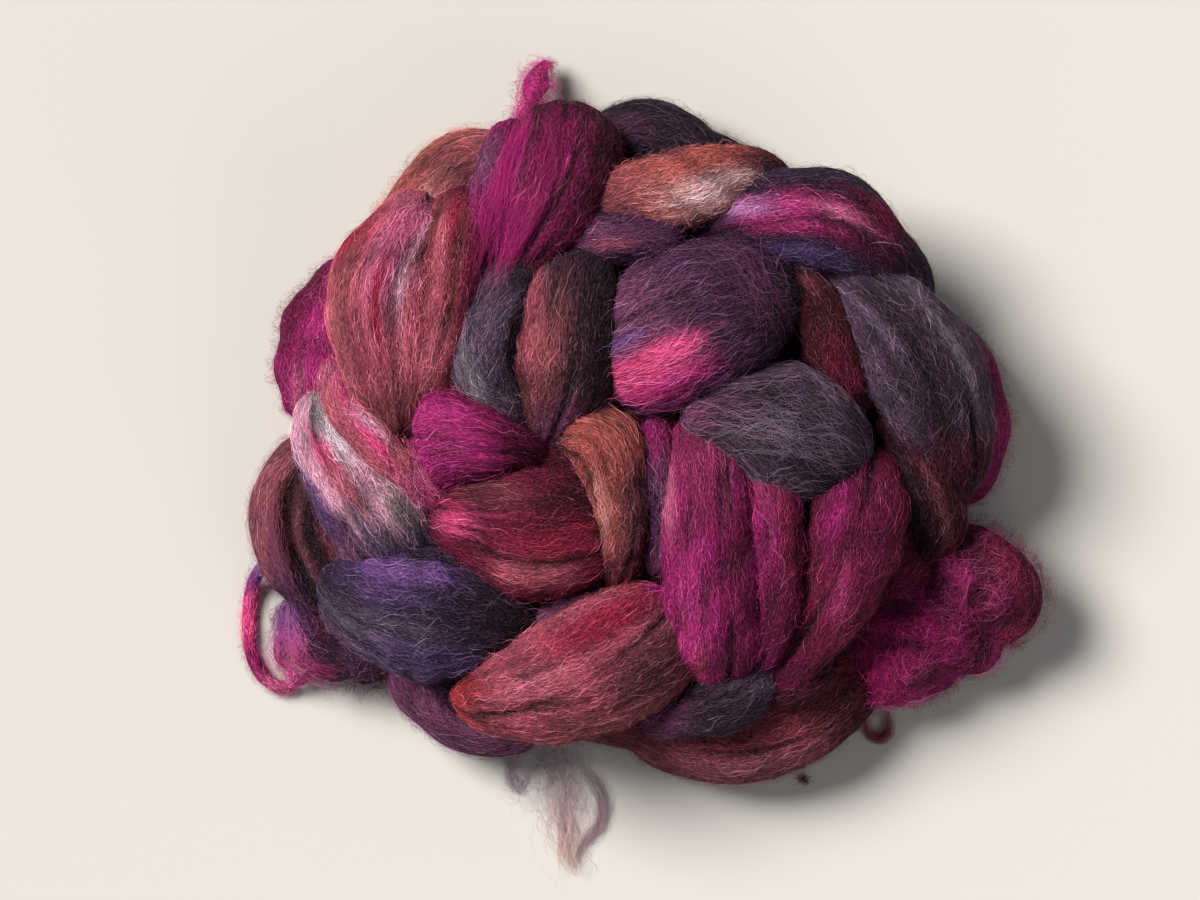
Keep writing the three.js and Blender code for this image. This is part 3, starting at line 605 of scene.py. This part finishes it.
def make_folds():
    """All folds, by group. The foot folds are added to the lower round."""
    folds = {group: [Fold(name, rows, *DYE_WORK[name]) for name, rows in members.items()]
             for group, members in GROUPS.items()}
    folds["lower_round"] += [Fold(f"foot_{i}", foot_sections(i), FOOT_DYES[i]) for i in range(FOOT_FOLDS)]
    return folds


def add_object(name, data):
    """A new object in the scene."""
    item = bpy.data.objects.new(name, data)
    bpy.context.scene.collection.objects.link(item)
    return item


def mesh_piece(name, points, faces, colours, maps, material):
    """A piece from arrays: points in mm, faces of equal size, a linear colour at each point, UV maps."""
    mesh = bpy.data.meshes.new(name)
    mesh.vertices.add(len(points))
    mesh.vertices.foreach_set("co", (points * MM).astype(np.float32).ravel())
    mesh.loops.add(faces.size)
    mesh.loops.foreach_set("vertex_index", faces.astype(np.int32).ravel())
    mesh.polygons.add(len(faces))
    mesh.polygons.foreach_set("loop_start", np.arange(0, faces.size, faces.shape[1], dtype=np.int32))
    mesh.update(calc_edges=True)
    dye = mesh.color_attributes.new("dye", "FLOAT_COLOR", "POINT")
    opaque = np.column_stack([colours, np.ones(len(colours))])
    dye.data.foreach_set("color", opaque.astype(np.float32).ravel())
    for map_name, uv in maps.items():
        layer = mesh.uv_layers.new(name=map_name)
        layer.data.foreach_set("uv", uv.astype(np.float32).ravel())
    mesh.polygons.foreach_set("use_smooth", np.ones(len(faces), bool))
    mesh.materials.append(material)
    mesh.validate()
    piece = add_object(name, mesh)
    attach(piece, "root")
    return piece


def closed_grid(sides, steps):
    """Triangles of a closed tube with a point at each end, and each corner's place (along, around)."""
    faces, places = [], []

    def ring(i, j):
        return 1 + (i - 1) * sides + j % sides

    last = 1 + (steps - 1) * sides
    for j in range(sides):
        faces += [(0, ring(1, j), ring(1, j + 1)), (last, ring(steps - 1, j + 1), ring(steps - 1, j))]
        places += [((0, j + 0.5), (1, j), (1, j + 1)), ((steps, j + 0.5), (steps - 1, j + 1), (steps - 1, j))]
        for i in range(1, steps - 1):
            a, b, c, d = (i, j), (i + 1, j), (i + 1, j + 1), (i, j + 1)
            faces += [(ring(*a), ring(*b), ring(*c)), (ring(*a), ring(*c), ring(*d))]
            places += [(a, b, c), (a, c, d)]
    return np.array(faces), np.array(places, float) / (steps, sides)


def grid_places(sides, steps):
    """Share along and angle around of each point of closed_grid, closer together on the upper side."""
    turn = np.arange(sides) / sides * FULL_TURN
    turn = turn + UPPER_SHIFT * np.cos(turn)
    rows = np.repeat(np.arange(1, steps) / steps, sides)
    return np.concatenate([[0], rows, [1]]), np.concatenate([[0], np.tile(turn, steps - 1), [0]])


def fold_arrays(fold):
    """Points, triangles, colours and corner places of one fold's surface."""
    in_view = fold.name in DYE_WORK
    sides, steps = WIDE_GRID if in_view and fold.widest >= WIDE_FOLD else SLIM_GRID
    t, turn = grid_places(sides, steps)
    packed = -fold.fluff * np.interp(t, fold.t, fold.half)
    points = fold.surface(t, turn, packed)
    points[:, 2] = np.maximum(points[:, 2], 0)
    faces, places = closed_grid(sides, steps)
    streak = rng.normal(0, DYE_STREAK, sides)
    shift = np.concatenate([[0], np.tile(streak, steps - 1), [0]])
    # painted shade: the strand under the fibres is darker than its dye
    colours = linear(fold.shade(t, turn, shift) * GROUND_PAINTED_SHADE)
    size = np.array([fold.long, fold.widest * AROUND]) * MM
    return points, faces, colours, places, size


def core_arrays():
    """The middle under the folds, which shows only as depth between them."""
    sides, steps = CORE_GRID
    faces, places = closed_grid(sides, steps)
    t, turn = grid_places(sides, steps)
    ring = np.sin(np.pi * t)
    half = np.array([*(COIL_HALF - CORE_INSET), CORE_TOP])
    unit_points = np.column_stack([ring * np.cos(turn), ring * np.sin(turn), np.cos(np.pi * t)])
    points = unit_points * half + np.array([*COIL_CENTRE, 0])
    points[:, 2] = np.maximum(points[:, 2], 0)
    colours = np.tile(linear(DYES["dark_wine"]), (len(points), 1))
    return points, faces[:, ::-1], colours, places[:, ::-1], np.array(CORE_GRAIN) * MM


def joined(parts):
    """Points and faces of several surfaces as one."""
    starts = np.cumsum([0] + [len(part[0]) for part in parts])
    points = np.concatenate([part[0] for part in parts])
    return points, np.concatenate([part[1] + start for part, start in zip(parts, starts)])


def joined_surfaces(name, parts, material):
    """One piece of several closed surfaces, each with a cell of its own in the bake map."""
    columns = math.ceil(math.sqrt(len(parts)))
    grain, bake = [], []
    for i, (_, _, _, places, size) in enumerate(parts):
        cell = (i % columns, i // columns)
        grain.append(places * size + rng.uniform(0, 1, 2))
        bake.append((places * BAKE_CELL + (1 - BAKE_CELL) / 2 + cell) / columns)
    maps = {"grain": np.concatenate(grain), "OFBake": np.concatenate(bake)}
    return mesh_piece(name, *joined(parts), np.concatenate([part[2] for part in parts]), maps, material)


def whole_tree(parts):
    """All folds' surfaces in one search tree."""
    points, faces = joined(parts)
    return BVHTree.FromPolygons((points * MM).tolist(), faces.tolist())


def standing_out(tree, points):
    """How far points stand out of the joined solid, in mm. It is negative inside."""
    out = np.empty(len(points))
    for i, p in enumerate(points * MM):
        near, normal, _, _ = tree.find_nearest(Vector(p))
        out[i] = (Vector(p) - near).dot(normal) / MM
    return out


def shown_cells(fold, tree):
    """Where the fold shows: cell middles (share along, angle), areas, and how much each faces up."""
    t = (np.arange(CELLS[0]) + 0.5) / CELLS[0]
    turn = (np.arange(CELLS[1]) + 0.5) / CELLS[1] * FULL_TURN
    t, turn = [a.ravel() for a in np.meshgrid(t, turn, indexing="ij")]
    points = fold.surface(t, turn)
    clear = (standing_out(tree, points) > BURIED) & (points[:, 2] > UNDERSIDE)
    area = np.interp(t, fold.t, fold.half) * fold.long
    faces_up = np.maximum(fold.outward(t, turn)[:, 2], 0)
    return t, turn, area * clear, faces_up


def pick_cells(cells, count, kind):
    """Places (share along, angle) for fibres, more or fewer on upright sides than on top."""
    t, turn, area, faces_up = cells
    side, top = kind["sides"]
    weight = area * (side + (top - side) * faces_up)
    pick = rng.choice(len(t), count, p=weight / weight.sum())
    return t[pick], turn[pick]


def fibre_tone(kind, count):
    """How much paler than its dye each fibre is, at each of its points."""
    paler, spread, fleck = kind["shade"]
    return rng.normal(paler, spread, count)[:, None, None] + rng.normal(0, fleck, (count, kind["points"], 1))


def ribbon_paths(fold, cells, count, kind):
    """Centre lines of fibres on one fold, their outward directions and their sRGB shades."""
    t, turn = pick_cells(cells, count, kind)
    along = np.linspace(-0.5, 0.5, kind["points"]) * draw(kind["length"], count)
    half = np.maximum(np.interp(t, fold.t, fold.half), SLIMMEST)[:, None]
    t0 = t[:, None] + draw(IN_CELL, count) / CELLS[0]
    turn0 = turn[:, None] + draw(IN_CELL, count) * FULL_TURN / CELLS[1]
    lean = np.arctan(rng.normal(0, kind["stray"], count)[:, None] * fold.frizz)
    wave = draw(kind["wave"], count)
    crimp = draw(kind["crimp"], count) * min(fold.frizz, FRIZZ_CRIMP)
    bend = FULL_TURN * along / wave + draw(ANY_TURN, count)
    ts = np.clip(t0 + along * np.cos(lean) / fold.long, *TIPS)
    turns = turn0 + (along * np.sin(lean) + crimp * np.sin(bend)) / half
    bow = 1 - 4 * np.linspace(-0.5, 0.5, kind["points"]) ** 2
    arch = draw(kind["arch"], count) * bow * min(fold.frizz, FRIZZ_ARCH)
    lift = draw(kind["lift"], count) + arch + CRIMP_LIFT * crimp * np.cos(bend)
    deep = draw(FLUFF_DEPTH, count) * fold.fluff * half
    points = fold.surface(ts, turns, lift + deep)
    points[..., 2] = np.maximum(points[..., 2], TABLE_Z)
    tone = fibre_tone(kind, count)
    shift = [rng.normal(0, reach, count)[:, None] for reach in DYE_SHIFT]
    return points, fold.outward(ts, turns), np.clip(fold.shade(ts, turns, *shift) + tone, *SHADES)


def laid_height(tree, places):
    """Height of the folds under places (x, y), in mm. It is 0 where there are none."""
    high = np.zeros(places.shape[:-1])
    for i in np.ndindex(high.shape):
        x, y = places[i] * MM
        hit = tree.ray_cast(Vector((x, y, 1.0)), Vector((0, 0, -1)))[0]
        high[i] = hit.z / MM if hit else 0
    return high


def taut(high):
    """Heights of fibres drawn tight over the heights that they lie on."""
    for _ in range(TAUT_ROUNDS):
        high[:, 1:-1] = np.maximum(high[:, 1:-1], (high[:, :-2] + high[:, 2:]) / 2)
    return high


def drift_paths(fold, cells, count, kind, tree):
    """Fibres that start on one fold and lie taut over whatever is under them, also over a crease."""
    t, turn = pick_cells(cells, count, kind)
    start = fold.surface(t, turn)
    along = np.linspace(-0.5, 0.5, kind["points"]) * draw(kind["length"], count)
    ahead = fold.look_up(fold.ahead, t)
    angle = np.arctan2(ahead[:, 1], ahead[:, 0]) + rng.normal(0, kind["stray"], count)
    bend = FULL_TURN * along / draw(kind["wave"], count) + draw(ANY_TURN, count)
    swing = draw(kind["crimp"], count) * np.sin(bend)
    swing = swing + rng.normal(0, DRIFT_BEND, count)[:, None] * along ** 2
    c, s = np.cos(angle)[:, None], np.sin(angle)[:, None]
    places = start[:, None, :2] + np.stack([along * c - swing * s, along * s + swing * c], axis=-1)
    high = laid_height(tree, places)
    near = np.abs(high[:, kind["points"] // 2] - start[:, 2]) < DRIFT_NEAR
    kept = near & (high.max(axis=1) - high.min(axis=1) < DRIFT_DROP)
    high = taut(high) + draw(kind["lift"], count)
    points = np.concatenate([places, high[..., None]], axis=-1)
    shade = np.clip(fold.shade(t, turn)[:, None, :] + fibre_tone(kind, count), *SHADES)
    return points[kept], np.broadcast_to(UPWARD, points.shape)[kept], shade[kept]


def joined_paths(made):
    """Fibres of several folds or locks as one: points, outward directions and shades."""
    return [np.concatenate(part) for part in zip(*made)]


def ribbon_piece(name, paths, kind, material):
    """Thin flat fibres along centre lines, tapered at both ends and each turned a little."""
    points, outward, shades = paths
    n, m, _ = points.shape
    ahead = unit(np.gradient(points, axis=1))
    across = unit(np.cross(ahead, outward))
    turn = rng.normal(0, kind["roll"], n)[:, None, None]
    across = across * np.cos(turn) + np.cross(ahead, across) * np.sin(turn)
    taper = np.sin(np.pi * (np.arange(m) + TIP_START) / (m - 1 + 2 * TIP_START)) ** TAPER_POWER
    reach = across * (draw(kind["width"], n) * taper / 2)[..., None]
    sides = np.stack([points - reach, points + reach], axis=2)
    sides[..., 2] = np.maximum(sides[..., 2], TABLE_Z / 2)
    ids = np.arange(n * m * 2).reshape(n, m, 2)
    faces = np.stack([ids[:, :-1, 0], ids[:, 1:, 0], ids[:, 1:, 1], ids[:, :-1, 1]], axis=-1).reshape(-1, 4)
    colours = np.repeat(linear(shades), 2, axis=1).reshape(-1, 3)
    maps = {"OFBake": ribbon_map(n, m)}
    return mesh_piece(name, sides.reshape(-1, 3), faces, colours, maps, material)


def ribbon_map(n, m):
    """A bake map with a long low cell for each ribbon."""
    row, column = np.divmod(np.arange(n), MAP_COLUMNS)
    u = (column[:, None] + np.linspace(*MAP_ENDS, m)) / MAP_COLUMNS
    low, high = [(row[:, None] + edge) / math.ceil(n / MAP_COLUMNS) for edge in MAP_SIDES]
    uv = np.empty((n, m - 1, 4, 2))
    uv[..., [0, 3], 0] = u[:, :-1, None]
    uv[..., [1, 2], 0] = u[:, 1:, None]
    uv[..., [0, 1], 1] = low[..., None]
    uv[..., [2, 3], 1] = high[..., None]
    return uv.reshape(-1, 2)


def fibre_counts(kind_name, shares):
    """How many fibres of a kind go on each fold, by how much of the fold shows."""
    filled = {name: 1 + FLUFF_FIBRES * share for name, share in FLUFF.items()}
    extra = {"combed": filled, "pale": PALE, "fuzz": FUZZ}.get(kind_name, {})
    weight = {name: share * extra.get(name, 1) for name, share in shares.items()}
    total = sum(weight.values())
    return {name: round(FIBRES[kind_name]["count"] * part / total) for name, part in weight.items()}


def fibre_pieces(name, made, kind, material):
    """The fibres of one kind on one group of folds, in pieces that are not too large."""
    paths = joined_paths(made)
    for k, start in enumerate(range(0, len(paths[0]), PIECE_RIBBONS)):
        part = [values[start:start + PIECE_RIBBONS] for values in paths]
        piece = ribbon_piece(f"{name}_{k}", part, kind, material)


def cover_with_fibres(folds, tree, laid_tree, material):
    """All kinds of fibres on all folds, where the folds show."""
    cells = {fold.name: shown_cells(fold, tree) for members in folds.values() for fold in members}
    shares = {name: area.sum() for name, (_, _, area, _) in cells.items()}
    for kind_name, kind in FIBRES.items():
        counts = fibre_counts(kind_name, shares)
        for group, members in folds.items():
            made = []
            for fold in members:
                given = fold, cells[fold.name], counts[fold.name], kind
                if counts[fold.name] and kind_name == "drift":
                    made.append(drift_paths(*given, laid_tree))
                elif counts[fold.name]:
                    made.append(ribbon_paths(*given))
            fibre_pieces(f"{group}_{kind_name}", made, kind, material)


def lock_paths(route, spread, count, dyes):
    """Loose fibres that wander along a route, their outward directions and their sRGB shades."""
    share = draw(LOCK_SHARE, count)
    t = draw((0, 1), count) * (1 - share) + share * np.linspace(0, 1, LOCK_POINTS)
    middle = spline(route, t.ravel()).reshape(count, LOCK_POINTS, 3)
    loose = (spread[0] + (spread[1] - spread[0]) * t)[..., None] * LOCK_SPREAD
    each = (count, 1, 3)
    sways = rng.uniform(*LOCK_SWAYS, each) * FULL_TURN * t[..., None]
    away = rng.normal(0, 1, each) + LOCK_SWAY * np.sin(sways + rng.uniform(*ANY_TURN, each))
    long = np.linalg.norm(np.diff(np.array(route, float), axis=0), axis=1).sum()
    bend = FULL_TURN * t * long / draw(LOCK_WAVE, count) + draw(ANY_TURN, count)
    curl = np.stack([np.sin(bend), np.cos(bend), LOCK_FLAT * np.sin(bend)], axis=-1)
    points = middle + loose * away + curl * draw(LOCK_CRIMP, count)[..., None]
    points[..., 2] = np.maximum(points[..., 2], TABLE_Z)
    start, end = [np.array(DYES[dye], float) for dye in dyes]
    shades = start + (end - start) * t[..., None] + rng.normal(0, LOCK_TONE, (count, 1, 1))
    return points, np.broadcast_to(UPWARD, points.shape), np.clip(shades, *SHADES)


def laid_lock_paths(route, spread, count, dyes, tree):
    """A lock's fibres with the height of the folds under them."""
    points, outward, shades = lock_paths([(x, y, 0) for x, y in route], spread, count, dyes)
    points[..., 2] = taut(laid_height(tree, points[..., :2])) + draw(LAID_LIFT, count)
    return points, outward, shades


def lock_piece(name, made, material):
    """One piece of several loose locks."""
    return ribbon_piece(name, joined_paths(made), LOCK, material)


def make_loop(tree, combed, fibre):
    """The thin strand that leaves the nest, lies on the table and goes back in."""
    rows = [[x, y, z + LOOP_DIAMETER * PLUMP / 2, LOOP_DIAMETER] for x, y, z in LOOP_ROUTE]
    fold = Fold("loose_loop", rows, "magenta", *LOOP_SPLASHES)
    strand = joined_surfaces("loop_strand", [fold_arrays(fold)], combed)
    cells = shown_cells(fold, tree)
    for kind_name, count in LOOP_FIBRES.items():
        kind = FIBRES[kind_name]
        paths = ribbon_paths(fold, cells, count, kind)
        ribbon_piece(f"loop_{kind_name}", paths, kind, fibre)
    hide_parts("loose_loop")


def make_wisp(fibre):
    """The gauzy web of loose fibres on the table below the nest."""
    web = lock_piece("wisp_web", [lock_paths(*lock) for lock in WISP_LOCKS.values()], fibre)
    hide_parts("loose_wisp")


def set_inputs(node, **values):
    """Sets inputs of a shader node by their names, with _ for a space."""
    for name, value in values.items():
        node.inputs[name.replace("_", " ")].default_value = value


def new_material(name):
    """A material with its node tree and its Principled shader."""
    material = bpy.data.materials.new(name)
    material.use_nodes = True
    return material, material.node_tree, material.node_tree.nodes["Principled BSDF"]


def add_node(tree, kind, links=(), settings=(), **values):
    """A shader node with its settings, links from outputs to its inputs, and values of other inputs."""
    node = tree.nodes.new("ShaderNode" + kind)
    for name, setting in settings:
        setattr(node, name, setting)
    set_inputs(node, **values)
    for output, name in links:
        tree.links.new(output, node.inputs[name])
    return node


def dye_colour(tree):
    """The dye at each point of a mesh."""
    return add_node(tree, "VertexColor", settings=[("layer_name", "dye")]).outputs["Color"]


def fibre_material():
    """Single fibres: the dye at each point, dull, with a soft sheen."""
    material, tree, shader = new_material("wool_fibre")
    tree.links.new(dye_colour(tree), shader.inputs["Base Color"])
    set_inputs(shader, Roughness=0.62, Specular_IOR_Level=0.16, Sheen_Weight=0.3, Sheen_Roughness=0.4,
               Sheen_Tint=SHEEN_TINT)
    return material


def noise_layer(tree, place, scale):
    """Soft noise drawn out along the strand."""
    stretch = add_node(tree, "Mapping", [(place, "Vector")], Scale=scale)
    noise = add_node(tree, "TexNoise", [(stretch.outputs["Vector"], "Vector")], Scale=1.0, Detail=3.0)
    return noise.outputs["Fac"]


def ranged(tree, value, **span):
    """A value moved from one range to another."""
    return add_node(tree, "MapRange", [(value, "Value")], **span).outputs["Result"]


def mixed(tree, blend, first, second):
    """Two colours multiplied or added."""
    links = [(first, MIX_FIRST), (second, MIX_SECOND)]
    settings = [("data_type", "RGBA"), ("blend_type", blend)]
    return add_node(tree, "Mix", links, settings, Factor=1.0).outputs[MIX_RESULT]


def combed_material():
    """The packed fibres under the loose ones: the dye, streaked and ridged along the strand."""
    material, tree, shader = new_material("combed_wool")
    grain = add_node(tree, "UVMap", settings=[("uv_map", "grain")]).outputs["UV"]
    sway = add_node(tree, "TexNoise", [(grain, "Vector")], Scale=260.0, Detail=2.0).outputs["Color"]
    wavy = add_node(tree, "VectorMath", [(sway, 0), (grain, 2)], [("operation", "MULTIPLY_ADD")])
    wavy.inputs[1].default_value = GRAIN_SWAY
    streaks, specks = [noise_layer(tree, wavy.outputs["Vector"], scale) for scale in (STREAKS, SPECKS)]
    tone = ranged(tree, streaks, From_Min=0.3, From_Max=0.72, To_Min=0.3, To_Max=1.6)
    sparkle = ranged(tree, specks, From_Min=0.32, From_Max=0.68, To_Min=0.5, To_Max=1.55)
    pale = ranged(tree, specks, From_Min=0.5, From_Max=0.72, To_Min=0.0, To_Max=0.04)
    both = add_node(tree, "Math", [(tone, 0), (sparkle, 1)], [("operation", "MULTIPLY")]).outputs["Value"]
    streaked = mixed(tree, "MULTIPLY", dye_colour(tree), both)
    bump = add_node(tree, "Bump", [(both, "Height")], Strength=0.8, Distance=0.0009)
    tree.links.new(mixed(tree, "ADD", streaked, pale), shader.inputs["Base Color"])
    tree.links.new(bump.outputs["Normal"], shader.inputs["Normal"])
    tree.links.new(ranged(tree, specks, To_Min=0.98, To_Max=0.7), shader.inputs["Roughness"])
    set_inputs(shader, Specular_IOR_Level=0.08)
    return material


def make_camera():
    """Straight above, with the frame's width at the height of the folds."""
    data = bpy.data.cameras.new("camera")
    data.sensor_width = SENSOR
    data.lens = SENSOR * CAMERA_AWAY / FRAME_WIDE
    data.clip_end = CLIP_END
    camera = add_object("camera", data)
    camera.location = Vector((*FRAME_CENTRE, SHARP_HEIGHT + CAMERA_AWAY)) * MM
    bpy.context.scene.camera = camera


def add_light(name, kind, place, power, colour):
    """A light aimed at the nest. Returns its data."""
    data = bpy.data.lights.new(name, kind)
    data.energy = power
    data.color = colour
    light = add_object(name, data)
    light.location = place
    light.rotation_euler = (-Vector(place)).to_track_quat("-Z", "Y").to_euler()
    return data


def make_stage():
    """A plain pale floor, a soft key from the upper left, a weak fill and an even sky."""
    mesh = bpy.data.meshes.new("floor")
    corners = [(x * FLOOR_FAR, y * FLOOR_FAR, 0) for x, y in ((-1, -1), (1, -1), (1, 1), (-1, 1))]
    mesh.from_pydata(corners, [], [(0, 1, 2, 3)])
    material, _, shader = new_material("pale_floor")
    set_inputs(shader, Base_Color=FLOOR_SHADE, Roughness=0.95, Specular_IOR_Level=0.0)
    mesh.materials.append(material)
    floor = add_object("floor", mesh)
    add_light("key", "SUN", *KEY).angle = math.radians(KEY_WIDE)
    add_light("fill", "AREA", *FILL).size = FILL_SIZE
    world = bpy.data.worlds.new("sky")
    world.use_nodes = True
    set_inputs(world.node_tree.nodes["Background"], Color=SKY, Strength=SKY_POWER)
    bpy.context.scene.world = world
    bpy.context.scene.view_settings.view_transform = "Standard"


def main():
    make_camera()
    make_stage()
    fibre = fibre_material()
    combed = combed_material()
    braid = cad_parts["coiled_braid"]
    tree = BVHTree.FromObject(braid, bpy.context.evaluated_depsgraph_get())
    make_loop(tree, combed, fibre)
    folds = make_folds()
    shown = []
    for group, members in folds.items():
        parts = [fold_arrays(fold) for fold in members]
        shown += parts
        if group == "lower_round":
            parts.append(core_arrays())
        piece = joined_surfaces(group, parts, combed)
        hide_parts("coiled_braid")
    laid_tree = whole_tree(shown)
    cover_with_fibres(folds, tree, laid_tree, fibre)
    made = [lock_paths(*lock) for lock in LOCKS.values()]
    made += [laid_lock_paths(*lock, laid_tree) for lock in LAID_LOCKS.values()]
    lock_piece("stray_locks", made, fibre)
    make_wisp(fibre)


main()
